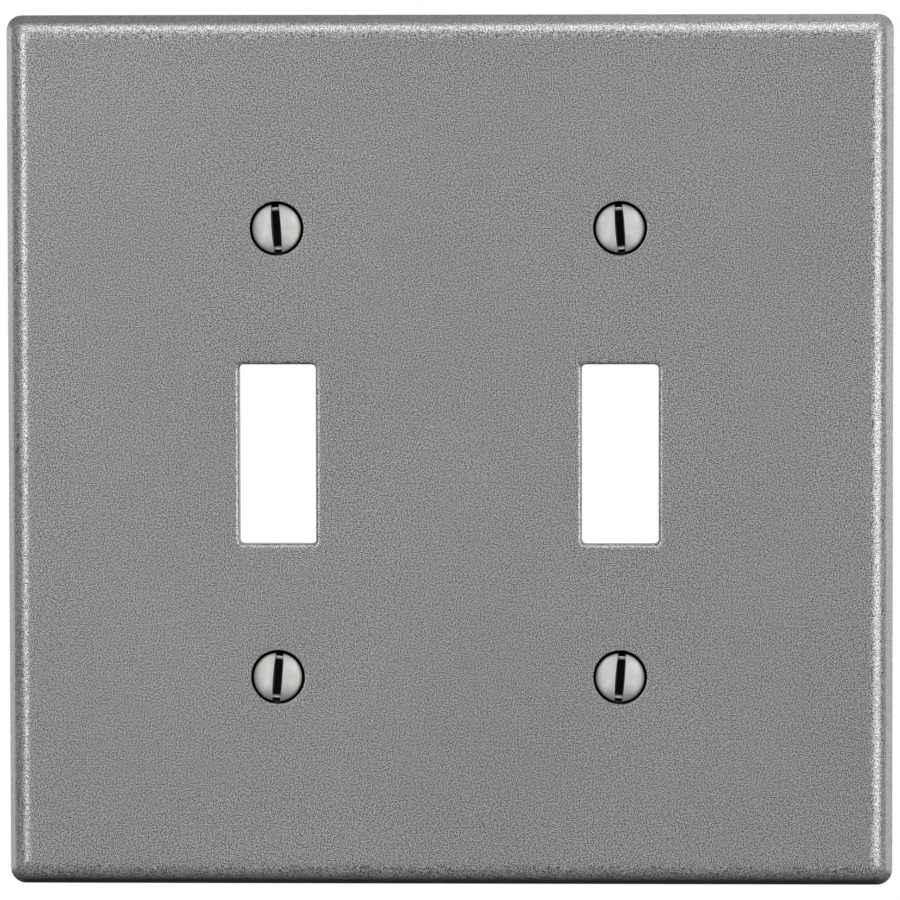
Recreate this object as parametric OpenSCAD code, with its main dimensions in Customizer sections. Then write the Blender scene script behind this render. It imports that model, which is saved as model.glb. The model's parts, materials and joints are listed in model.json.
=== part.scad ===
// Two-gang toggle-switch wall plate with its four captive oval-head screws.
// Millimetres, +Z up. The wall is the plane y = 0 and the face looks towards -Y.
// The origin is the centre of the four screws, on the wall plane.

/* [Plate] */
// Width of the plate at its rear rim
plate_width = 119.4; // [110:0.1:130]
// Height of the plate at its rear rim
plate_height = 117.5; // [110:0.1:130]
// Depth from the wall to the front face
plate_depth = 5.6; // [5.5:0.1:7]
// Lean of the four outer flanks, in degrees
flank_draft = 14; // [8:1:16]
// Radius of the rounded shoulder between flank and face
shoulder_radius = 2.6; // [1.5:0.1:2.7]
// Radius of the plate's corners, seen from the front
corner_radius = 2.1; // [1.5:0.1:3]
// Thickness of the front face
face_thickness = 2.2; // [2:0.1:2.5]
// Width of the rim that rests on the wall
rim_width = 2.0; // [1.6:0.1:2.5]

/* [Toggle openings] */
// Distance between the centres of the two gangs
gang_spacing = 46.02; // [46:0.01:46.1]
// Width of an opening
toggle_width = 10.3; // [9:0.1:11]
// Height of an opening
toggle_height = 24.2; // [22:0.1:25]
// How far the middle of an opening lies below the middle of the screws
toggle_drop = 0.2; // [0:0.05:0.4]
// Radius that breaks the front edge of an opening
toggle_edge_radius = 0.6; // [0.2:0.1:0.9]

/* [Screws] */
// Distance between the upper and the lower screws
screw_spacing = 60.33; // [60.2:0.01:60.4]
// Outer diameter of the thread
thread_diameter = 3.5; // [3.4:0.1:3.6]
// Diameter of the plain neck between head and thread
neck_diameter = 3.0; // [2.9:0.1:3.1]
// Length of a screw from the edge of its head to its tip
screw_length = 9.5; // [8:0.5:14]
// Diameter of the head
head_diameter = 6.6; // [6.4:0.1:6.8]
// Angle of the countersunk cone, in degrees
head_angle = 82; // [80:1:90]
// Height of the oval crown over the edge of the head
crown_height = 0.75; // [0.6:0.05:0.9]
// Height of the straight edge under the crown
head_edge = 0.1; // [0.05:0.05:0.15]
// Width of the driving slot at the crown
slot_mouth = 1.3; // [1.1:0.05:1.4]
// Width of the driving slot at its floor
slot_floor = 0.8; // [0.6:0.05:1]
// Depth of the driving slot below the top of the crown
slot_depth = 1.4; // [1.2:0.1:1.5]
// Distance from where the head rests to where it would be tight
seat_gap = 0.3; // [0.2:0.05:0.4]
// Lean of the upper slots, anticlockwise from upright, in degrees
upper_slot_turn = 4; // [0:1:90]
// Lean of the lower slots, anticlockwise from upright, in degrees
lower_slot_turn = -4.5; // [-90:0.5:0]

/* [Screw holes] */
// Diameter of the countersink where it meets the face
mouth_diameter = 7.2; // [7:0.1:7.6]
// Diameter of the clearance hole behind the countersink
clearance_diameter = 4.2; // [4:0.1:4.4]
// Gap between the screw's neck and the lip that keeps the screw in the plate
lip_gap = 0.05; // [0.02:0.01:0.09]
// Thickness of that lip
lip_thickness = 0.6; // [0.4:0.1:0.8]

/* [Rear of the plate] */
// Room kept between the bosses and the wall, for the switch straps
strap_room = 1.8; // [1.4:0.1:2]
// Diameter of the boss round each screw
boss_diameter = 9.5; // [8.5:0.1:10.5]
// Thickness of the collar round each opening
collar_wall = 1.5; // [1:0.1:2]
// Thickness of a rib
rib_width = 1.4; // [1:0.1:2]
// Room between a rib's end and the outer wall
rib_end_gap = 2.4; // [1.5:0.1:4]
// How far a rib stands out of the back of the face
rib_height = 1.2; // [0.8:0.1:1.5]
// Radius inside the hollow, where face and wall meet
hollow_fillet = 0.8; // [0.5:0.1:1]
// Diameter of an ejector pin's mark
ejector_diameter = 4.8; // [4:0.1:6]
// Depth of an ejector pin's mark
ejector_depth = 0.15; // [0.1:0.05:0.2]

/* [Hidden] */
$fn = 96;
cut = 1;          // how far a cutting shape runs past the face that it opens
bite = 0.4;       // how far a rib or boss runs into the wall that carries it
plate_colour = [0.55, 0.55, 0.55];
screw_colour = [0.78, 0.78, 0.76];

gang_x = gang_spacing / 2;
screw_y = screw_spacing / 2;
cone_slope = tan(head_angle / 2);
hollow_depth = plate_depth - face_thickness;
rib_foot = hollow_depth - rib_height;
floor_half_width = plate_width / 2 - rim_width - hollow_depth * tan(flank_draft);
floor_half_height = plate_height / 2 - rim_width - hollow_depth * tan(flank_draft);
collar_half_height = toggle_height / 2 + collar_wall;
collar_half_width = toggle_width / 2 + collar_wall;

// The seated head would touch the countersink where both have the head's radius.
seated_depth = (mouth_diameter - head_diameter) / 2 / cone_slope;
cone_top = plate_depth - seated_depth + seat_gap;
head_top = cone_top + head_edge;
cone_height = (head_diameter - neck_diameter) / 2 / cone_slope;
neck_foot = strap_room - 0.1;
thread_runout = (thread_diameter - neck_diameter) / 2;
tip_z = cone_top - screw_length;
tip_chamfer = 0.5;
crown_radius = (pow(head_diameter / 2, 2) + pow(crown_height, 2)) / (2 * crown_height);

countersink_depth = (mouth_diameter - clearance_diameter) / 2 / cone_slope;

// Everything is drawn lying on its back, wall at z = 0 and face up, and this stands it up.
module stand_on_wall() {
    rotate([90, 0, 0]) children();
}

// Section of a drafted block with rounded shoulders: width across, height up.
module drafted_section(width, depth, draft, radius) {
    centre_y = depth - radius;
    centre_x = width / 2 - (radius + centre_y * sin(draft)) / cos(draft);
    side_x = centre_x + radius * cos(draft);
    side_y = centre_y + radius * sin(draft);
    polygon([
        [-width / 2, 0], [width / 2, 0], [side_x, side_y], [centre_x, depth],
        [-centre_x, depth], [-side_x, side_y],
    ]);
    for (side = [-1, 1]) translate([side * centre_x, centre_y]) circle(radius);
}

// Block with drafted flanks, rounded shoulders and round corners, standing on z = 0.
module drafted_block(width, height, depth, draft, radius, corner) {
    reach = 2 * max(width, height);
    difference() {
        intersection() {
            rotate([90, 0, 0]) linear_extrude(reach, center = true)
                drafted_section(width, depth, draft, radius);
            rotate([90, 0, 90]) linear_extrude(reach, center = true)
                drafted_section(height, depth, draft, radius);
        }
        for (x = [-1, 1], y = [-1, 1]) in_quarter(x, y)
            translate([width / 2 - corner, height / 2 - corner, -cut])
                cube([corner + cut, corner + cut, depth + 2 * cut]);
    }
    for (quarter = [0 : 3]) {
        x = quarter == 0 || quarter == 3 ? 1 : -1;
        y = quarter < 2 ? 1 : -1;
        translate([x * (width / 2 - corner), y * (height / 2 - corner), 0])
            rotate([0, 0, 90 * quarter]) rotate_extrude(angle = 90) intersection() {
                translate([corner - width / 2, 0])
                    drafted_section(width, depth, draft, radius);
                square([corner + cut, depth + cut]);
            }
    }
}

// Mirrors a shape drawn in the first quarter into the quarter with these signs.
module in_quarter(x, y) {
    mirror([x < 0 ? 1 : 0, 0, 0]) mirror([0, y < 0 ? 1 : 0, 0]) children();
}

module at_gangs() {
    for (x = [-gang_x, gang_x]) translate([x, 0, 0]) children();
}

module at_screws() {
    at_gangs() for (y = [-screw_y, screw_y]) translate([0, y, 0]) children();
}

// Section of an opening whose front edge is rounded: it flares at the face.
module flared_section(width) {
    edge = toggle_edge_radius;
    translate([-width / 2, -cut]) square([width, plate_depth + 2 * cut]);
    difference() {
        translate([-width / 2 - edge, plate_depth - edge])
            square([width + 2 * edge, edge + cut]);
        for (side = [-1, 1]) translate([side * (width / 2 + edge), plate_depth - edge])
            circle(edge);
    }
}

module toggle_opening() {
    reach = 2 * toggle_height;
    intersection() {
        rotate([90, 0, 0]) linear_extrude(reach, center = true) flared_section(toggle_width);
        rotate([90, 0, 90]) linear_extrude(reach, center = true) flared_section(toggle_height);
    }
}

// Countersink, clearance hole, and a lip at the foot of the boss that is closer than the thread.
module screw_hole() {
    translate([0, 0, plate_depth - countersink_depth])
        cylinder(h = countersink_depth + cut, d1 = clearance_diameter,
                 d2 = mouth_diameter + 2 * cut * cone_slope);
    translate([0, 0, strap_room + lip_thickness])
        cylinder(h = plate_depth - strap_room - lip_thickness, d = clearance_diameter);
    translate([0, 0, strap_room - cut])
        cylinder(h = lip_thickness + 2 * cut, d = neck_diameter + 2 * lip_gap);
}

module hollow() {
    flare = 2 * cut * tan(flank_draft);
    translate([0, 0, -cut]) drafted_block(
        plate_width - 2 * rim_width + flare, plate_height - 2 * rim_width + flare,
        hollow_depth + cut, flank_draft, hollow_fillet, corner_radius);
}

// A straight rib on the back of the face, from one point to another along x or y.
module rib(from, to) {
    low = [min(from.x, to.x), min(from.y, to.y)];
    high = [max(from.x, to.x), max(from.y, to.y)];
    along_x = high.x - low.x > high.y - low.y;
    size = along_x ? [high.x - low.x, rib_width] : [rib_width, high.y - low.y];
    translate([(low.x + high.x - size.x) / 2, (low.y + high.y - size.y) / 2, rib_foot])
        cube([size.x, size.y, rib_height + bite]);
}

module ribs() {
    side = floor_half_width - rib_end_gap;
    top = floor_half_height - rib_end_gap;
    boss_edge = boss_diameter / 2 - bite;
    for (x = [-1, 1]) {
        rib([x * side, 0], [x * (gang_x + collar_half_width - bite), 0]);
        for (y = [-1, 1]) {
            rib([x * gang_x, y * (collar_half_height - bite) - toggle_drop],
                [x * gang_x, y * (screw_y - boss_edge)]);
            rib([x * gang_x, y * (screw_y + boss_edge)], [x * gang_x, y * top]);
        }
    }
    rib([-gang_x + collar_half_width - bite, 0], [gang_x - collar_half_width + bite, 0]);
    rib([0, -top], [0, top]);
}

// Shallow marks in the floor of the hollow, near its corners and beside the centre rib.
module ejector_marks() {
    inset = ejector_diameter + rib_end_gap;
    outer_x = floor_half_width - inset;
    for (x = [-outer_x, -inset, inset, outer_x], y = [-1, 1])
        translate([x, y * (floor_half_height - inset), hollow_depth - cut])
            cylinder(h = cut + ejector_depth, d = ejector_diameter);
}

module wall_plate() {
    color(plate_colour) stand_on_wall() difference() {
        union() {
            difference() {
                drafted_block(plate_width, plate_height, plate_depth, flank_draft,
                              shoulder_radius, corner_radius);
                hollow();
            }
            at_screws() translate([0, 0, strap_room])
                cylinder(h = hollow_depth - strap_room + bite, d = boss_diameter);
            at_gangs() translate([-collar_half_width, -collar_half_height - toggle_drop, rib_foot])
                cube([2 * collar_half_width, 2 * collar_half_height, rib_height + bite]);
            ribs();
        }
        at_gangs() translate([0, -toggle_drop, 0]) toggle_opening();
        at_screws() screw_hole();
        ejector_marks();
    }
}

// Section of the driving slot, which narrows towards its floor.
module slot_section() {
    half_floor = slot_floor / 2;
    half_mouth = slot_mouth / 2;
    polygon([
        [-half_floor, 0], [half_floor, 0], [half_mouth, slot_depth],
        [half_mouth, slot_depth + cut], [-half_mouth, slot_depth + cut],
        [-half_mouth, slot_depth],
    ]);
}

// One oval-head machine screw. Its thread is drawn plain, at its outer diameter.
module screw(x, y, slot_turn) {
    radius = thread_diameter / 2;
    thread_top = neck_foot - thread_runout;
    color(screw_colour) stand_on_wall() translate([x, y, 0]) rotate([0, 0, slot_turn])
        difference() {
            union() {
                rotate_extrude() intersection() {
                    translate([0, head_top + crown_height - crown_radius])
                        circle(crown_radius);
                    translate([0, cone_top]) square([head_diameter / 2, head_diameter]);
                }
                translate([0, 0, cone_top - cone_height])
                    cylinder(h = cone_height, d1 = neck_diameter, d2 = head_diameter);
                translate([0, 0, thread_top])
                    cylinder(h = cone_top - cone_height - thread_top, d = neck_diameter);
                translate([0, 0, thread_top])
                    cylinder(h = thread_runout, d1 = thread_diameter, d2 = neck_diameter);
                translate([0, 0, tip_z + tip_chamfer])
                    cylinder(h = thread_top - tip_z - tip_chamfer, r = radius);
                translate([0, 0, tip_z])
                    cylinder(h = tip_chamfer, r1 = radius - tip_chamfer, r2 = radius);
            }
            translate([0, 0, head_top + crown_height - slot_depth]) rotate([90, 0, 0])
                linear_extrude(2 * head_diameter, center = true) slot_section();
        }
}

module screw_top_left() { screw(-gang_x, screw_y, upper_slot_turn); }
module screw_top_right() { screw(gang_x, screw_y, upper_slot_turn); }
module screw_bottom_left() { screw(-gang_x, -screw_y, lower_slot_turn); }
module screw_bottom_right() { screw(gang_x, -screw_y, lower_slot_turn); }

wall_plate();
screw_top_left();
screw_top_right();
screw_bottom_left();
screw_bottom_right();
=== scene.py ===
# %% [markdown]
# # A wall plate for two toggle switches, with its four screws
# On the wall this is one thin plastic moulding, held by four slotted oval-head screws.
# It has two plain materials, so its look comes from exact edges, a very fine grain in the
# plastic, and metal heads that mirror the studio.
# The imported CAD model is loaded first, because the plate's size and the place of each screw are
# taken from it.

# %% The frame
import json
from math import asin, cos, pi, radians, sin, tan, tau

import bmesh
import bpy
from mathutils import Matrix, Vector


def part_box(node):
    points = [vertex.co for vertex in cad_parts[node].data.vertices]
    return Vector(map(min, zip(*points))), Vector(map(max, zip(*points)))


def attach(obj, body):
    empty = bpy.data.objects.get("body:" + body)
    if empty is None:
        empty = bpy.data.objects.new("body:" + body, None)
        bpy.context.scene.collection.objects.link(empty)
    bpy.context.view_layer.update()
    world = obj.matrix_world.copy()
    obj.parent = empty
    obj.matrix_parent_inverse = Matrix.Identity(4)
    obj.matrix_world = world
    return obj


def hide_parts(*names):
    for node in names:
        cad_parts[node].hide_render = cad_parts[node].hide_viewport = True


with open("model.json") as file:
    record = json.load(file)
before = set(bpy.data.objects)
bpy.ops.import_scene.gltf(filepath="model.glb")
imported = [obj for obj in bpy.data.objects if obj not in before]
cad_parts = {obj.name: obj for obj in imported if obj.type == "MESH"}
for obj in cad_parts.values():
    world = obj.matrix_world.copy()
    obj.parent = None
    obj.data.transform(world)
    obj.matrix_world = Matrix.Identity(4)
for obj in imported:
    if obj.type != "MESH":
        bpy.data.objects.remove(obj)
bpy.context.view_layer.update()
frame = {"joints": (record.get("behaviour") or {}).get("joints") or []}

# %% [markdown]
# ## Measures
# The plate's width, height and depth come from its CAD box, and each screw's place from the
# joint that it turns on. The smaller sizes belong to the mould and to the screw standard.
# They are in millimetres, and shapes are drawn lying on the bench: wall at level 0, face up.

# %% Measures of the plate
MM = 0.001
plate_low, plate_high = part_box("wall_plate")
plate_width = (plate_high.x - plate_low.x) / MM
plate_height = (plate_high.z - plate_low.z) / MM
plate_depth = (plate_high.y - plate_low.y) / MM
flank_draft = radians(14)
shoulder_radius = 2.6
corner_radius = 2.1
corner_tightening = 0.4
face_thickness = 2.2
floor_level = plate_depth - face_thickness
rim_width = 2.0
print(f"plate {plate_width:.2f} x {plate_height:.2f} x {plate_depth:.2f} mm")

# %% Places of the screws and of the two gangs
screw_places = {
    joint["child"]: Vector((joint["pos_m"][0], joint["pos_m"][2])) / MM
    for joint in frame["joints"]
}
gang_places = sorted({place.x for place in screw_places.values()})
print("gangs at x =", gang_places, "mm")


# %% [markdown]
# ## Rings and bridges
# The plate has one section all the way round, and so has every hole in it. Such a shape can be
# cut from a block with booleans, or built as a stack of closed rings that are bridged two by
# two. Rings were chosen, because each one is a real outline of the mould, the walls between
# them come out as clean four-sided faces, and the roundings keep exactly the wanted radius.

# %% Rings
CORNER_STEPS = 10
ROUND_STEPS = 64
EDGE_STEPS = 3
SPREAD = 20


def ring_edges(verts):
    return list({edge for vert in verts for edge in vert.link_edges})


def box_ring(bm, width, height, corner, level, centre=(0, 0)):
    """A rectangle with round corners: a circle whose four quarters are pulled apart."""
    verts = bmesh.ops.create_circle(bm, segments=4 * (CORNER_STEPS + 1), radius=1)["verts"]
    for index, vert in enumerate(verts):
        quarter, step = divmod(index, CORNER_STEPS + 1)
        angle = (quarter + step / CORNER_STEPS) * pi / 2
        side_x = 1 if quarter in (0, 3) else -1
        side_y = 1 if quarter < 2 else -1
        vert.co = (
            centre[0] + side_x * (width / 2 - corner) + corner * cos(angle),
            centre[1] + side_y * (height / 2 - corner) + corner * sin(angle),
            level,
        )
    return ring_edges(verts)


def round_ring(bm, radius, level, centre, steps=ROUND_STEPS):
    place = Matrix.Translation((centre[0], centre[1], level))
    return ring_edges(
        bmesh.ops.create_circle(bm, segments=steps, radius=radius, matrix=place)["verts"]
    )


def bridge_all(bm, rings):
    """Joins each ring to the next. Rings in one plane give a bridge no direction to follow,
    so all of them are spread out in height first and put back afterwards."""
    levels = [{vert: vert.co.z for edge in ring for vert in edge.verts} for ring in rings]
    for index, verts in enumerate(levels):
        for vert in verts:
            vert.co.z = index * SPREAD
    for first, second in zip(rings, rings[1:]):
        bmesh.ops.bridge_loops(bm, edges=first + second)
    for verts in levels:
        for vert, level in verts.items():
            vert.co.z = level


def rounding(radius, steps=EDGE_STEPS):
    """A quarter round, as how far in and how far down it is at each step."""
    for step in range(steps + 1):
        angle = step / steps * pi / 2
        yield radius * (1 - sin(angle)), radius * (1 - cos(angle))


def drafted_section(depth, radius, steps):
    """How far in the outline is at each level, from the foot over the shoulder to the top."""
    centre_level = depth - radius
    centre_inset = (radius + centre_level * sin(flank_draft)) / cos(flank_draft)
    yield 0, 0
    for step in range(steps + 1):
        angle = flank_draft + (pi / 2 - flank_draft) * step / steps
        yield centre_inset - radius * cos(angle), centre_level + radius * sin(angle)


# %% [markdown]
# ## The shell
# The outside leans in by the mould's draft and turns into the face over a soft shoulder. The
# corners tighten as they climb, so the highlights of two shoulders meet in a soft mitre. The
# back is a shallow hollow with a narrow rim that lies on the wall. Each flat area starts with
# a narrow border ring, which keeps the shading of a large flat face perfectly even.

# %% Outer skin, rim and hollow
hollow_radius = 0.8
FLAT_BORDER = 0.4
RIM_EDGE = 0.06
SHOULDER_STEPS = 14
HOLLOW_STEPS = 5


def shell_ring(bm, inset, level, foot_inset=0):
    """The outline at a distance in from the foot of the outer or of the inner wall."""
    tight = corner_radius - corner_tightening * inset
    away = 2 * (inset + foot_inset)
    return box_ring(bm, plate_width - away, plate_height - away, tight, level)


def build_shell(bm):
    outer = list(drafted_section(plate_depth, shoulder_radius, SHOULDER_STEPS))
    inner = list(drafted_section(floor_level, hollow_radius, HOLLOW_STEPS))
    foot = [(RIM_EDGE, 0), (RIM_EDGE * tan(flank_draft), RIM_EDGE)]
    face = shell_ring(bm, outer[-1][0] + FLAT_BORDER, plate_depth)
    floor = shell_ring(bm, inner[-1][0] + FLAT_BORDER, floor_level, rim_width)
    skin = [shell_ring(bm, inset, level) for inset, level in reversed(outer[1:])]
    skin += [shell_ring(bm, inset, level) for inset, level in reversed(foot)]
    hollow = [shell_ring(bm, inset, level, rim_width) for inset, level in inner]
    bridge_all(bm, [face, *skin, *hollow, floor])
    return face, floor


# %% [markdown]
# ## The toggle openings
# A toggle lever passes through each opening. Its front edge is rounded, so that a finger does
# not catch on it, and its corners are only just broken. Behind the face a collar stiffens it.
# The openings sit a hair below the middle of the screws.

# %% Openings
toggle_width, toggle_height = 10.3, 24.2
toggle_drop = 0.2
toggle_edge = 0.6
toggle_corner = 0.6
collar_wall = 1.5
rib_height = 1.2
rib_level = floor_level - rib_height
SMALL_EDGE = 0.2
FOOT_FILLET = 0.35
TOGGLE_EDGE_STEPS = 6


def opening_ring(bm, gang_x, outset, level):
    return box_ring(
        bm, toggle_width + 2 * outset, toggle_height + 2 * outset,
        toggle_corner + outset, level, (gang_x, -toggle_drop),
    )


def build_opening(bm, gang_x):
    face = opening_ring(bm, gang_x, toggle_edge + FLAT_BORDER, plate_depth)
    rings = [face]
    for outset, drop in rounding(toggle_edge, TOGGLE_EDGE_STEPS):
        rings.append(opening_ring(bm, gang_x, outset, plate_depth - drop))
    rings.append(opening_ring(bm, gang_x, 0, rib_level + SMALL_EDGE))
    rings.append(opening_ring(bm, gang_x, SMALL_EDGE, rib_level))
    for inward, drop in rounding(SMALL_EDGE):
        rings.append(opening_ring(bm, gang_x, collar_wall - inward, rib_level + drop))
    for inward, drop in reversed(list(rounding(FOOT_FILLET))):
        rings.append(opening_ring(bm, gang_x, collar_wall + inward, floor_level - drop))
    floor = opening_ring(bm, gang_x, collar_wall + FOOT_FILLET + FLAT_BORDER, floor_level)
    bridge_all(bm, [*rings, floor])
    return face, floor


# %% [markdown]
# ## The screw holes
# Each hole is a countersink in the face, a clearance hole, and a thin lip at the foot of a
# boss. The lip is closer than the thread, so a screw can't fall out while the plate is carried.
# All of it is round, so its rings are circles.

# %% Screw holes and bosses
head_slope = tan(radians(82) / 2)
mouth_radius = 3.6
mouth_edge = 0.12
clearance_radius = 2.1
lip_radius = 1.55
lip_thickness = 0.6
boss_radius = 4.75
boss_level = 1.8


def build_screw_hole(bm, place):
    countersink_level = plate_depth - (mouth_radius - clearance_radius) / head_slope
    lip_level = boss_level + lip_thickness
    profile = [(mouth_radius + mouth_edge + FLAT_BORDER, plate_depth)]
    profile += [(mouth_radius + x, plate_depth - drop) for x, drop in rounding(mouth_edge)]
    profile += [
        (clearance_radius, countersink_level), (clearance_radius, lip_level),
        (lip_radius, lip_level), (lip_radius, boss_level),
    ]
    profile += [(boss_radius - x, boss_level + drop) for x, drop in rounding(SMALL_EDGE)]
    fillet = reversed(list(rounding(FOOT_FILLET)))
    profile += [(boss_radius + x, floor_level - drop) for x, drop in fillet]
    profile.append((boss_radius + FOOT_FILLET + FLAT_BORDER, floor_level))
    rings = [round_ring(bm, radius, level, place) for radius, level in profile]
    bridge_all(bm, rings)
    return rings[0], rings[-1]


# %% [markdown]
# ## Ejector marks
# The pins that push the moulding out of its mould leave shallow round marks on the hidden side.

# %% Ejector marks
ejector_radius = 2.4
ejector_depth = 0.15
rib_end_gap = 2.4
EJECTOR_STEPS = 32
floor_half_width = plate_width / 2 - rim_width - floor_level * tan(flank_draft)
floor_half_height = plate_height / 2 - rim_width - floor_level * tan(flank_draft)


def build_ejector_mark(bm, place):
    top = round_ring(bm, ejector_radius, floor_level, place, EJECTOR_STEPS)
    deep = round_ring(bm, ejector_radius, floor_level + ejector_depth, place, EJECTOR_STEPS)
    bmesh.ops.contextual_create(bm, geom=deep)
    bridge_all(bm, [top, deep])
    return top


# %% [markdown]
# ## Ribs
# Thin ribs join the bosses, the collars and the middle of the plate, so that the thin face
# does not flex. Each is a cube stretched to its length, with its free edges rounded. Their
# crossings would be hard to bridge by hand, so an exact boolean joins them to the shell.

# %% Ribs and the boolean that joins them
rib_width = 1.4
RIB_BITE = 0.4
TOUCHING = 0.01


def add_rib(bm, start, end):
    centre = [(a + b) / 2 for a, b in zip(start, end)]
    size = [max(abs(a - b), rib_width) for a, b in zip(start, end)]
    height = floor_level + RIB_BITE - rib_level
    verts = bmesh.ops.create_cube(bm, size=1)["verts"]
    bmesh.ops.scale(bm, verts=verts, vec=(*size, height))
    bmesh.ops.translate(bm, verts=verts, vec=(*centre, rib_level + height / 2))
    edges = {e for v in verts for e in v.link_edges}
    free = [e for e in edges if all(v.co.z < rib_level + TOUCHING for v in e.verts)]
    bmesh.ops.bevel(
        bm, geom=free, offset=SMALL_EDGE, offset_type="OFFSET", segments=2,
        profile=0.5, affect="EDGES", material=-1,
    )


def build_ribs(bm):
    side = floor_half_width - rib_end_gap
    top = floor_half_height - rib_end_gap
    collar_x = toggle_width / 2 + collar_wall - RIB_BITE
    collar_y = toggle_height / 2 + collar_wall - RIB_BITE
    boss_edge = boss_radius - RIB_BITE
    for x in gang_places:
        outward = 1 if x > 0 else -1
        add_rib(bm, (x + outward * collar_x, 0), (outward * side, 0))
        for place in screw_places.values():
            if place.x == x:
                up = 1 if place.y > 0 else -1
                add_rib(bm, (x, up * collar_y - toggle_drop), (x, place.y - up * boss_edge))
                add_rib(bm, (x, place.y + up * boss_edge), (x, up * top))
    add_rib(bm, (gang_places[0] + collar_x, 0), (gang_places[1] - collar_x, 0))
    add_rib(bm, (0, -top), (0, top))


def boolean(bm, tool, operation, tool_crosses_itself=False):
    """The first shape joined to or cut by the second, which is used up."""
    made = []
    for shape in (bm, tool):
        mesh = bpy.data.meshes.new("shape")
        shape.to_mesh(mesh)
        shape.free()
        made.append(bpy.data.objects.new("shape", mesh))
        bpy.context.scene.collection.objects.link(made[-1])
    modifier = made[0].modifiers.new("boolean", "BOOLEAN")
    modifier.object, modifier.operation = made[1], operation
    modifier.solver, modifier.use_self = "EXACT", tool_crosses_itself
    graph = bpy.context.evaluated_depsgraph_get()
    result = bpy.data.meshes.new_from_object(made[0].evaluated_get(graph))
    joined = bmesh.new()
    joined.from_mesh(result)
    for thing in made:
        bpy.data.objects.remove(thing)
    return joined


# %% [markdown]
# ## Finishing a piece
# A finished piece sits at the origin, with its place in its mesh, as the CAD nodes do. Round
# parts are shaded smooth and real edges stay sharp, and a Weighted Normal modifier lets the
# large flat faces decide how the corners beside them are shaded.

# %% Finishing
SHARP_ANGLE = radians(34)
WELD = 1e-5


def finish_piece(bm, name):
    bmesh.ops.rotate(bm, verts=bm.verts, cent=(0, 0, 0), matrix=Matrix.Rotation(pi / 2, 3, "X"))
    bmesh.ops.scale(bm, verts=bm.verts, vec=(MM, MM, MM))
    for edge in bm.edges:
        edge.smooth = edge.calc_face_angle(pi) < SHARP_ANGLE
    for face in bm.faces:
        face.smooth = True
    mesh = bpy.data.meshes.new(name)
    bm.to_mesh(mesh)
    open_edges = sum(not edge.is_manifold for edge in bm.edges)
    print(f"{name}: {len(bm.faces)} faces, {open_edges} open edges")
    bm.free()
    piece = bpy.data.objects.new(name, mesh)
    bpy.context.scene.collection.objects.link(piece)
    weighted = piece.modifiers.new("even flat faces", "WEIGHTED_NORMAL")
    weighted.keep_sharp = True
    return piece


# %% Putting the plate together
def build_plate():
    bm = bmesh.new()
    face, floor = build_shell(bm)
    for gang_x in gang_places:
        hole, collar = build_opening(bm, gang_x)
        face, floor = face + hole, floor + collar
    for place in screw_places.values():
        hole, boss = build_screw_hole(bm, place)
        face, floor = face + hole, floor + boss
    inset = 2 * ejector_radius + rib_end_gap
    for x in (inset - floor_half_width, -inset, inset, floor_half_width - inset):
        for y in (inset - floor_half_height, floor_half_height - inset):
            floor = floor + build_ejector_mark(bm, (x, y))
    for flat in (face, floor):
        bmesh.ops.triangle_fill(bm, edges=flat, use_beauty=True)
    bmesh.ops.remove_doubles(bm, verts=bm.verts, dist=WELD)
    bmesh.ops.recalc_face_normals(bm, faces=bm.faces)
    ribs = bmesh.new()
    build_ribs(ribs)
    return finish_piece(boolean(bm, ribs, "UNION", True), "wall_plate_moulding")


plate = build_plate()

# %% [markdown]
# ## The screws
# An oval-head screw is turned on a lathe, so its whole profile is spun round its axis: crown,
# edge, cone, plain neck, thread and tip. The thread is real. Its rows of points are pushed in
# or out by where they are on the helix, 32 turns to the inch and right-handed. A sawn slot,
# wider at the top than at its floor, is then cut through the head with a boolean.

# %% Screw profile
head_radius = 3.3
crown_height = 0.75
head_edge = 0.1
neck_radius = 1.5
thread_radius = 1.75
thread_pitch = 25.4 / 32
thread_height = 0.487
screw_length = 9.5
seat_gap = 0.3
tip_chamfer = 0.5
thread_gap = 0.1
cone_top = plate_depth - (mouth_radius - head_radius) / head_slope + seat_gap
crown_foot = cone_top + head_edge
cone_foot = cone_top - (head_radius - neck_radius) / head_slope
thread_top = boss_level - thread_gap
tip_level = cone_top - screw_length
ROWS_PER_TURN = 12
SPIN_STEPS = 72
CROWN_STEPS = 10
HEAD_EASE = 0.06


def screw_profile():
    """Points from the top of the crown down to the tip, as radius and level."""
    sphere = (head_radius**2 + crown_height**2) / (2 * crown_height)
    middle = crown_foot + crown_height - sphere
    widest = asin((head_radius - HEAD_EASE) / sphere)
    for step in range(CROWN_STEPS + 1):
        angle = widest * step / CROWN_STEPS
        yield sphere * sin(angle), middle + sphere * cos(angle)
    yield head_radius, crown_foot - HEAD_EASE / 2
    yield head_radius, cone_top
    yield neck_radius, cone_foot
    yield neck_radius, thread_top
    rows = round((thread_top - tip_level) / thread_pitch * ROWS_PER_TURN)
    for row in range(1, rows + 1):
        yield thread_radius, thread_top - (thread_top - tip_level) * row / rows
    yield 0, tip_level


# %% Thread, slot and the whole screw
slot_mouth, slot_floor, slot_depth = 1.3, 0.8, 1.4
slot_floor_level = crown_foot + crown_height - slot_depth
CREST_HALF, FLANK = 1 / 16, 5 / 16
CUTTER_ABOVE = 1
CUTTER_LENGTH = 4 * head_radius
AXIS_RADIUS = 0.1


def thread_depth(level, angle):
    """How far in from the crest the surface is: a flat crest, straight flanks, a flat root."""
    turn = (level / thread_pitch - angle / tau) % 1
    from_crest = min(turn, 1 - turn)
    down = min(max((from_crest - CREST_HALF) / FLANK, 0), 1)
    return thread_height * down


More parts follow.
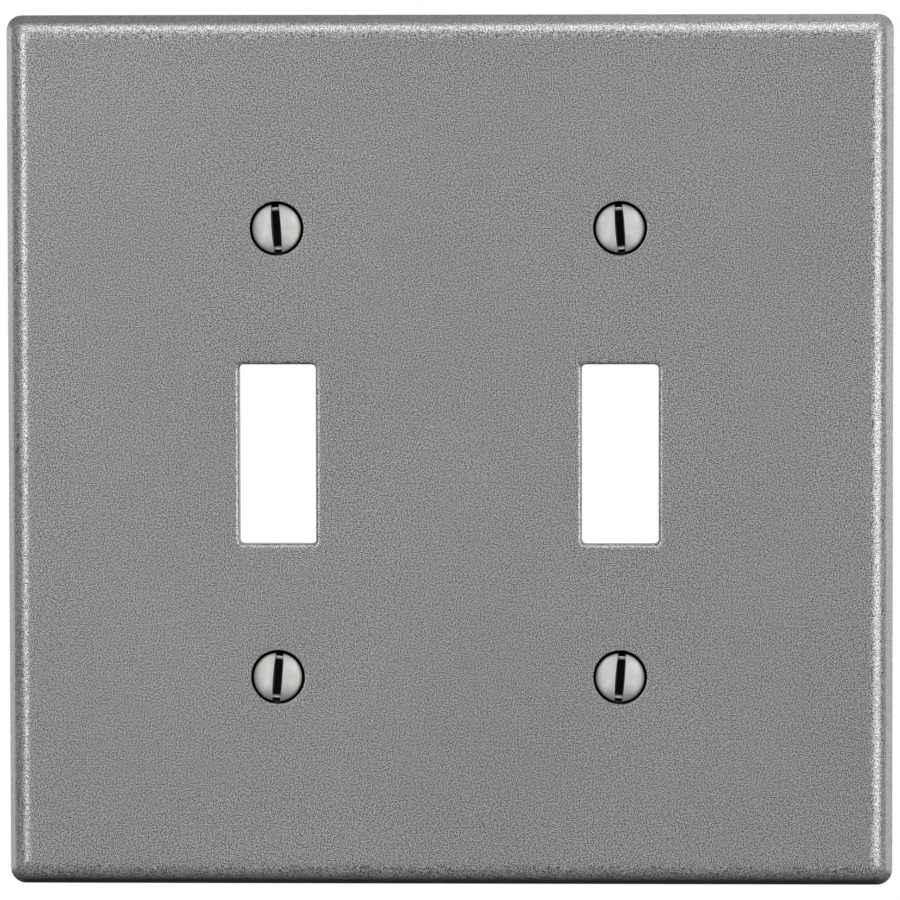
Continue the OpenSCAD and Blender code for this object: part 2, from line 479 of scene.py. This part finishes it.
def cut_thread(bm):
    for vert in bm.verts:
        if vert.co.z > thread_top - TOUCHING or vert.co.xy.length < AXIS_RADIUS:
            continue
        radius = thread_radius - thread_depth(vert.co.z, vert.co.xy.angle_signed(Vector((1, 0))))
        below_neck = neck_radius + (thread_top - vert.co.z)
        above_tip = thread_radius - tip_chamfer + (vert.co.z - tip_level)
        radius = min(radius, above_tip, max(below_neck, thread_radius - thread_height))
        vert.co.xy = vert.co.xy.normalized() * radius


def slot_cutter(turn):
    bm = bmesh.new()
    verts = bmesh.ops.create_cube(bm, size=1)["verts"]
    lean = (slot_mouth - slot_floor) / 2 / slot_depth
    half = (slot_floor / 2, slot_mouth / 2 + lean * CUTTER_ABOVE)
    for vert in verts:
        high = vert.co.z > 0
        side = 1 if vert.co.x > 0 else -1
        vert.co.x = side * half[high]
        vert.co.z = slot_floor_level + (slot_depth + CUTTER_ABOVE) * high
        vert.co.y *= CUTTER_LENGTH
    bmesh.ops.rotate(bm, verts=verts, cent=(0, 0, 0), matrix=Matrix.Rotation(turn, 3, "Z"))
    return bm


def build_screw(name, place, turn):
    bm = bmesh.new()
    points = [bm.verts.new((radius, 0, level)) for radius, level in screw_profile()]
    edges = [bm.edges.new(pair) for pair in zip(points, points[1:])]
    bmesh.ops.spin(
        bm, geom=points + edges, cent=(0, 0, 0), axis=(0, 0, 1), angle=tau,
        steps=SPIN_STEPS, use_merge=True,
    )
    bmesh.ops.remove_doubles(bm, verts=bm.verts, dist=WELD)
    bmesh.ops.recalc_face_normals(bm, faces=bm.faces)
    cut_thread(bm)
    bm = boolean(bm, slot_cutter(turn), "DIFFERENCE")
    bmesh.ops.translate(bm, verts=bm.verts, vec=(place.x, place.y, 0))
    return finish_piece(bm, name)


upper_turn, lower_turn = radians(4), radians(-4.5)
screws = {}
for body, place in screw_places.items():
    turn = upper_turn if place.y > 0 else lower_turn
    screws[body] = build_screw(body + "_machined", place, turn)


# %% [markdown]
# ## Materials
# A material is a small network of nodes. It could be wired by hand in the shader editor, but
# a few helpers keep each network short enough to read here: one adds a node and wires its
# inputs, three more stand for the nodes that are used most, and two open and place a group.

# %% Node helpers
def add_node(tree, kind, inputs=None, **settings):
    made = tree.nodes.new(kind)
    for key, value in settings.items():
        setattr(made, key, value)
    for socket, value in (inputs or {}).items():
        if isinstance(value, bpy.types.NodeSocket):
            tree.links.new(value, made.inputs[socket])
        else:
            made.inputs[socket].default_value = value
    return made


def calculate(tree, operation, *values):
    """One Math node, on one value or on two."""
    made = add_node(tree, "ShaderNodeMath", dict(enumerate(values)), operation=operation)
    return made.outputs[0]


def remap(tree, value, source=(0.0, 1.0), target=(0.0, 1.0), **settings):
    """A value moved from one range to another, and held inside it."""
    limits = {
        "From Min": source[0], "From Max": source[1], "To Min": target[0], "To Max": target[1],
    }
    made = add_node(tree, "ShaderNodeMapRange", {"Value": value, **limits}, **settings)
    return made.outputs["Result"]


def blend(tree, factor, first, second):
    """A colour that goes from the first to the second as the factor goes from 0 to 1."""
    made = add_node(
        tree, "ShaderNodeMix", {"Factor": factor, "A": first, "B": second}, data_type="RGBA"
    )
    return made.outputs["Result"]


# %% Groups of nodes
def open_group(name, inputs):
    """A group with the given inputs and one output, a mask from 0 to 1."""
    group = bpy.data.node_groups.new(name, "ShaderNodeTree")
    for label, kind, value in inputs:
        socket = group.interface.new_socket(name=label, in_out="INPUT", socket_type=kind)
        if value is not None:
            socket.default_value = value
    group.interface.new_socket(name="Mask", in_out="OUTPUT", socket_type="NodeSocketFloat")
    given = group.nodes.new("NodeGroupInput").outputs
    return group, given, group.nodes.new("NodeGroupOutput").inputs["Mask"]


def place_group(tree, group, inputs):
    return add_node(tree, "ShaderNodeGroup", inputs, node_tree=group).outputs["Mask"]


# %% [markdown]
# ## Grain, tone and specks
# Two effects are node groups, so that each material can place them with its own values. The
# first is a grain. At a fine size it is what spark erosion leaves on a mould or blasting on a
# metal, and at a much larger size it is a slow change of tone. The second is rare dark specks
# of dust, which only the plastic shows. Both read a position in metres.

# %% Grain
def make_grain_group():
    group, given, mask = open_group(
        "fine grain",
        [("Vector", "NodeSocketVector", None), ("Size", "NodeSocketFloat", 0.0003),
         ("Spread", "NodeSocketFloat", 0.2)],
    )
    noise = add_node(
        group, "ShaderNodeTexNoise",
        {"Vector": given["Vector"], "Scale": calculate(group, "DIVIDE", 1.0, given["Size"]),
         "Detail": 2.0, "Roughness": 0.65},
    )
    low = calculate(group, "SUBTRACT", 0.5, given["Spread"])
    high = calculate(group, "ADD", 0.5, given["Spread"])
    group.links.new(remap(group, noise.outputs["Fac"], (low, high)), mask)
    return group


grain_group = make_grain_group()
print(f"{grain_group.name}: {len(grain_group.nodes)} nodes")


# %% Specks
def make_speck_group():
    group, given, mask = open_group(
        "specks",
        [("Vector", "NodeSocketVector", None), ("Cell", "NodeSocketFloat", 0.008),
         ("Radius", "NodeSocketFloat", 0.02), ("Share", "NodeSocketFloat", 0.3)],
    )
    cells = add_node(
        group, "ShaderNodeTexVoronoi",
        {"Vector": given["Vector"], "Scale": calculate(group, "DIVIDE", 1.0, given["Cell"]),
         "Randomness": 1.0},
    )
    near = remap(group, cells.outputs["Distance"], (given["Radius"], 0.0))
    tint = add_node(group, "ShaderNodeSeparateColor", {"Color": cells.outputs["Color"]})
    chosen = calculate(group, "LESS_THAN", tint.outputs[0], given["Share"])
    group.links.new(calculate(group, "MULTIPLY", near, chosen), mask)
    return group


speck_group = make_speck_group()
print(f"{speck_group.name}: {len(speck_group.nodes)} nodes")


# %% [markdown]
# ## Gray plastic
# The moulding is an even, neutral gray with a satin gloss. Up close it is peppered by a fine
# grain about a sixth of a millimetre wide, light where the mould's texture catches light. A
# bump alone would lose that pepper where the light is soft, so the grain drives the colour,
# the roughness and a low bump together.

# %% Starting a material
def gray(value):
    return (value, value, value, 1.0)


def new_material(name):
    material = bpy.data.materials.new(name)
    material.use_nodes = True
    tree = material.node_tree
    tree.nodes.clear()
    place = add_node(tree, "ShaderNodeTexCoord").outputs["Object"]
    return material, tree, place


def distance_from_axis(tree, place, centre=(0, 0, 0)):
    """How far a place is from a line that runs from front to back through the centre."""
    parts = add_node(tree, "ShaderNodeSeparateXYZ", {0: place})
    flat = add_node(
        tree, "ShaderNodeCombineXYZ", {"X": parts.outputs["X"], "Z": parts.outputs["Z"]}
    )
    away = add_node(
        tree, "ShaderNodeVectorMath", {0: flat.outputs[0], 1: centre}, operation="DISTANCE"
    )
    return away.outputs["Value"]


def depth_of(tree, place):
    """How far back a place is. The face is in front of the wall, so its depth is negative."""
    return add_node(tree, "ShaderNodeSeparateXYZ", {0: place}).outputs["Y"]


# %% Shade in the countersinks
SHADE_EASE = 0.1
SHADE_LEFT = 0.05
SHADE_END = 0.2


def countersink_shade(tree, place):
    """Dark inside the four countersinks, which fold onto one when signs are dropped. Behind the
    floor of the hollow it ends, so the backs of the bosses stay gray. The same mask takes the
    gloss away: a metal with a black base colour mirrors nothing."""
    folded = add_node(tree, "ShaderNodeVectorMath", {0: place}, operation="ABSOLUTE")
    hole = screw_places["top_right_screw"] * MM
    away = distance_from_axis(tree, folded.outputs[0], (hole.x, 0, hole.y))
    edge = (mouth_radius * MM, (mouth_radius + SHADE_EASE) * MM)
    outside = remap(tree, away, edge, (SHADE_LEFT, 1.0))
    end = (-(floor_level + SHADE_END) * MM, -(floor_level - SHADE_END) * MM)
    behind_floor = remap(tree, depth_of(tree, place), end)
    return calculate(tree, "MAXIMUM", outside, behind_floor)


# %% Plastic
PLASTIC_DARK, PLASTIC_LIGHT = gray(0.004), gray(0.36)
PLASTIC_TONES = (0.93, 1.06)
SPECK_SHADES = (1.0, 0.45)
PLASTIC_ROUGHNESS = (0.37, 0.34)


def make_plastic():
    material, tree, place = new_material("gray satin plastic")
    grain = place_group(tree, grain_group, {"Vector": place, "Size": 0.00016, "Spread": 0.045})
    tone = place_group(tree, grain_group, {"Vector": place, "Size": 0.040, "Spread": 0.35})
    specks = place_group(tree, speck_group, {"Vector": place, "Cell": 0.007, "Share": 0.22})
    toned = remap(tree, tone, target=PLASTIC_TONES)
    shade = remap(tree, specks, target=SPECK_SHADES)
    sink = countersink_shade(tree, place)
    clean = calculate(tree, "MULTIPLY", toned, shade)
    both = calculate(tree, "MULTIPLY", clean, sink)
    speckled = blend(tree, grain, PLASTIC_DARK, PLASTIC_LIGHT)
    base = add_node(
        tree, "ShaderNodeVectorMath", {0: speckled, "Scale": both}, operation="SCALE"
    )
    bump = add_node(
        tree, "ShaderNodeBump", {"Height": grain, "Distance": 0.0000004, "Strength": 1.0}
    )
    shader = add_node(
        tree, "ShaderNodeBsdfPrincipled",
        {"Base Color": base.outputs[0],
         "Roughness": remap(tree, grain, target=PLASTIC_ROUGHNESS),
         "Metallic": calculate(tree, "SUBTRACT", 1.0, sink), "Normal": bump.outputs[0],
         "Specular IOR Level": 1.0},
    )
    add_node(tree, "ShaderNodeOutputMaterial", {"Surface": shader.outputs[0]})
    return material


plastic = make_plastic()
plate.data.materials.append(plastic)
print(f"{plastic.name}: {len(plastic.node_tree.nodes)} nodes")


# %% [markdown]
# ## Plated steel
# The heads are bright plated steel. The lathe leaves fine rings round each axis, so a Mapping
# node moves the pattern's centre to the screw, and a wave texture makes the rings. Shade is
# painted into the floor of each slot and into a thin line round the rim. It could be a second
# material on a few faces, but its edge would be hard, so it is a mask that fades with the place
# on the screw.

# %% Painted shade at the floor of a slot and round the rim
# The slot floor and a thin line round the rim get painted shade: a dark colour where shade falls.
SLOT_SHADE_TOP = -(slot_floor_level + 0.55) * MM
SLOT_SHADE_FULL = -(slot_floor_level + 0.15) * MM
SLOT_SHADE_END = -(slot_floor_level - 0.05) * MM
SLOT_SHADE_RADII = (2.85 * MM, 2.35 * MM)
RIM_SHADOW_LINE = (3.19 * MM, 3.28 * MM)


def slot_painted_shade(tree, spot):
    """Painted shade: dark at the floor of the slot, clean again where the slot runs out of the
    head, and dark once more in a thin painted shadow line round the rim, where the head meets its
    countersink."""
    radius = distance_from_axis(tree, spot)
    depth = depth_of(tree, spot)
    inside = remap(tree, radius, SLOT_SHADE_RADII)
    deep = remap(tree, depth, (SLOT_SHADE_TOP, SLOT_SHADE_FULL))
    both = calculate(tree, "MULTIPLY", inside, deep)
    in_head = calculate(tree, "LESS_THAN", depth, SLOT_SHADE_END)
    slot = calculate(tree, "MULTIPLY", both, in_head)
    return calculate(tree, "MAXIMUM", slot, remap(tree, radius, RIM_SHADOW_LINE))


# %% Steel
STEEL_DULL, STEEL_BRIGHT = (0.55, 0.55, 0.53, 1), (0.72, 0.72, 0.70, 1)
# The near-black colour of the painted shade in the slots and round the rims.
PAINTED_SHADE_COLOUR = (0.004, 0.004, 0.004, 1)
STEEL_ROUGHNESS = (0.26, 0.40)
STEEL_METALLIC = (0.65, 1.0)


def make_steel(name, centre):
    material, tree, place = new_material(name)
    centred = add_node(
        tree, "ShaderNodeMapping", {"Vector": place, "Location": centre}, vector_type="TEXTURE"
    )
    spot = centred.outputs[0]
    grain = place_group(tree, grain_group, {"Vector": spot, "Size": 0.00012, "Spread": 0.30})
    tone = place_group(tree, grain_group, {"Vector": spot, "Size": 0.0016, "Spread": 0.30})
    rings = add_node(
        tree, "ShaderNodeTexWave",
        {"Vector": spot, "Scale": 1500.0, "Distortion": 1.5, "Detail": 2.0, "Detail Scale": 2.0},
        wave_type="RINGS", rings_direction="Y", wave_profile="SIN",
    )
    # Painted shade in the slot and round the rim: it darkens the colour, and as black metal it
    # mirrors nothing.
    painted_shade = slot_painted_shade(tree, spot)
    bare = blend(tree, tone, STEEL_DULL, STEEL_BRIGHT)
    relief = calculate(tree, "ADD", rings.outputs["Fac"], grain)
    bump = add_node(
        tree, "ShaderNodeBump", {"Height": relief, "Distance": 0.0000012, "Strength": 1.0}
    )
    shader = add_node(
        tree, "ShaderNodeBsdfPrincipled",
        {"Base Color": blend(tree, painted_shade, bare, PAINTED_SHADE_COLOUR),
         "Roughness": remap(tree, grain, target=STEEL_ROUGHNESS), "Normal": bump.outputs[0],
         "Metallic": remap(tree, painted_shade, target=STEEL_METALLIC)},
    )
    add_node(tree, "ShaderNodeOutputMaterial", {"Surface": shader.outputs[0]})
    return material


for body, screw in screws.items():
    axis = Vector((screw_places[body].x, 0, screw_places[body].y)) * MM
    screw.data.materials.append(make_steel(body + " steel", axis))
    print(f"{screw.name}: {screw.data.materials[0].name}")

# %% [markdown]
# ## The stage
# The camera looks almost straight at the face, from a little above and to the right, through a
# long lens, as such plates are shown. A short lens from nearby would also fill the picture, but
# the leaning flanks would turn away from it and be hidden.

# %% Camera
camera_azimuth, camera_elevation, camera_distance = 2.0, 3.5, 0.99
camera_roll = radians(-0.1)
camera_data = bpy.data.cameras.new("camera")
camera_data.lens = 293.5
camera_data.sensor_width = 36
camera_data.shift_y = 0.00076
camera_data.clip_start = 0.01
camera = bpy.data.objects.new("camera", camera_data)
bpy.context.scene.collection.objects.link(camera)
bpy.context.scene.camera = camera


def direction(azimuth, elevation):
    """Towards a place that is so far to the right of the viewer and so far above, in degrees."""
    a, e = radians(azimuth), radians(elevation)
    return Vector((sin(a) * cos(e), -cos(a) * cos(e), sin(e)))


def aim(thing, azimuth, elevation, distance):
    away = direction(azimuth, elevation)
    thing.location = away * distance
    thing.rotation_euler = away.to_track_quat("Z", "Y").to_euler()


aim(camera, camera_azimuth, camera_elevation, camera_distance)
camera.rotation_euler.rotate_axis("Z", camera_roll)
bpy.context.scene.view_settings.view_transform = "Standard"
print(f"camera: {camera_data.lens:.1f} mm lens, {camera_distance:.2f} m away")

# %% [markdown]
# ## The lamps
# Satin gray and bright metal want different light, and one set of lamps would be a compromise,
# so light linking gives each its own. Softboxes stand to the left of the plate, to its right
# and overhead, so three shoulders carry a bright band and the lower one falls into shade. The
# overhead one shows only in reflections, which keeps the face even. A small lamp over the top
# right corner and a lamp behind the plate give only diffuse light. The screws mirror a broad
# card in front, two narrow ones beside it, and one behind for their tips.

# %% Softboxes
kicker_inset, kicker_back, kicker_rise = 0.002, 0.02, 0.06


def only(name, objects):
    """A collection for light linking: a lamp that has it as receiver lights nothing else."""
    group = bpy.data.collections.new(name)
    for thing in objects:
        group.objects.link(thing)
    return group


def softbox(name, azimuth, elevation, size, radiance, receivers, distance=1.2):
    """A rectangular lamp that looks at the origin. Radiance is how bright its face is."""
    data = bpy.data.lights.new(name, "AREA")
    data.shape = "RECTANGLE"
    data.size, data.size_y = size
    data.energy = radiance * pi * size[0] * size[1]
    lamp = bpy.data.objects.new(name, data)
    lamp.visible_camera = False
    bpy.context.scene.collection.objects.link(lamp)
    aim(lamp, azimuth, elevation, distance)
    lamp.light_linking.receiver_collection = receivers
    return lamp


moulding = only("lit moulding", [plate])
heads = only("lit screws", screws.values())
softbox("left softbox", -38, 14, (0.58, 1.1), 8.6, moulding)
softbox("right softbox", 58, 9, (0.85, 1.1), 7.6, moulding)
overhead = softbox("top softbox", 12, 79, (1.5, 0.85), 5.0, moulding)
overhead.visible_diffuse = False
kicker = softbox("corner kicker", 0, 90, (0.05, 0.03), 13.0, moulding)
kicker.location = (plate_high.x - kicker_inset, kicker_back, plate_high.z + kicker_rise)
kicker.rotation_euler = (0, 0, 0)
kicker.visible_glossy = False
back_lamp = softbox("back light", 180, 3, (0.5, 0.5), 14.0, moulding)
back_lamp.visible_glossy = False
softbox("back glint", 180, 8, (1.6, 1.2), 1.6, heads)
softbox("front card", 0, 4, (2.6, 2.2), 0.92, heads)
softbox("left glint", -30, 6, (0.22, 1.6), 0.7, heads)
softbox("right glint", 34, 6, (0.3, 1.6), 0.7, heads)
print("lamps:", ", ".join(lamp.name for lamp in bpy.data.lights))

# %% [markdown]
# ## Floor and room
# The floor is pale and well below. It glows, so that it looks almost as white as the room, and
# only the camera sees it, so it casts no light on the plate. To the camera the room is white. To
# every other ray it is much dimmer, with a low bright strip behind the plate that shows in
# grazing reflections and lights the hidden side.

# %% Floor
floor_drop = 0.06
floor_reach = 3
floor_mesh = bmesh.new()
bmesh.ops.create_grid(floor_mesh, x_segments=8, y_segments=8, size=floor_reach)
bmesh.ops.translate(floor_mesh, verts=floor_mesh.verts, vec=(0, 0, plate_low.z - floor_drop))
floor_data = bpy.data.meshes.new("floor")
floor_mesh.to_mesh(floor_data)
floor_mesh.free()
floor = bpy.data.objects.new("floor", floor_data)
bpy.context.scene.collection.objects.link(floor)
floor.visible_diffuse = False
floor.visible_glossy = False
floor_finish = bpy.data.materials.new("pale floor")
floor_finish.use_nodes = True
floor_shader = floor_finish.node_tree.nodes["Principled BSDF"]
floor_shader.inputs["Base Color"].default_value = gray(0.8)
floor_shader.inputs["Roughness"].default_value = 0.9
floor_shader.inputs["Emission Color"].default_value = gray(1.0)
floor_shader.inputs["Emission Strength"].default_value = 0.9
floor_data.materials.append(floor_finish)
print(f"floor: {floor_drop} m below the plate")


# %% Room light
# A ray's direction has a length of one, so each range here is a share of one axis in it.
ROOM_HEIGHTS, ROOM_LIGHT = (-0.15, 0.35), (0.02, 0.12)
STRIP_DEPTHS = (0.3, 0.9)
STRIP_HEIGHTS, STRIP_LIGHT = (0.10, 0.26), (1.8, 0.0)
CORE_SIDES, CORE_SHARE = (0.08, 0.16), (1.0, 0.15)
WING_SIDES, WING_SHARE = (0.22, 0.40), (0.0, 0.8)


def make_room():
    world = bpy.data.worlds.new("room")
    bpy.context.scene.world = world
    world.use_nodes = True
    tree = world.node_tree
    tree.nodes.clear()
    way = add_node(tree, "ShaderNodeTexCoord").outputs["Generated"]
    parts = add_node(tree, "ShaderNodeSeparateXYZ", {0: way}).outputs
    height = remap(
        tree, parts["Z"], ROOM_HEIGHTS, ROOM_LIGHT, interpolation_type="SMOOTHSTEP"
    )
    behind = remap(tree, parts["Y"], STRIP_DEPTHS)
    low = remap(tree, calculate(tree, "ABSOLUTE", parts["Z"]), STRIP_HEIGHTS, STRIP_LIGHT)
    off_centre = calculate(tree, "ABSOLUTE", parts["X"])
    core = remap(tree, off_centre, CORE_SIDES, CORE_SHARE)
    wings = remap(tree, off_centre, WING_SIDES, WING_SHARE)
    spread = calculate(tree, "MAXIMUM", core, wings)
    strip = calculate(tree, "MULTIPLY", behind, low)
    backdrop = calculate(tree, "MULTIPLY", strip, spread)
    total = calculate(tree, "ADD", height, backdrop)
    seen = add_node(tree, "ShaderNodeLightPath").outputs["Is Camera Ray"]
    strength = add_node(tree, "ShaderNodeMix", {"Factor": seen, "A": total, "B": 1.0})
    light = add_node(
        tree, "ShaderNodeBackground",
        {"Color": gray(1.0), "Strength": strength.outputs["Result"]},
    )
    add_node(tree, "ShaderNodeOutputWorld", {"Surface": light.outputs[0]})
    return world


room = make_room()
print(f"{room.name}: {len(room.node_tree.nodes)} nodes")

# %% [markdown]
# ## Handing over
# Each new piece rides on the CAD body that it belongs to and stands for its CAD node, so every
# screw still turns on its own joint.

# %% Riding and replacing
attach(plate, "plate")
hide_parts("wall_plate")
for body, screw in screws.items():
    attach(screw, body)
    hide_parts("screw_" + body.removesuffix("_screw"))
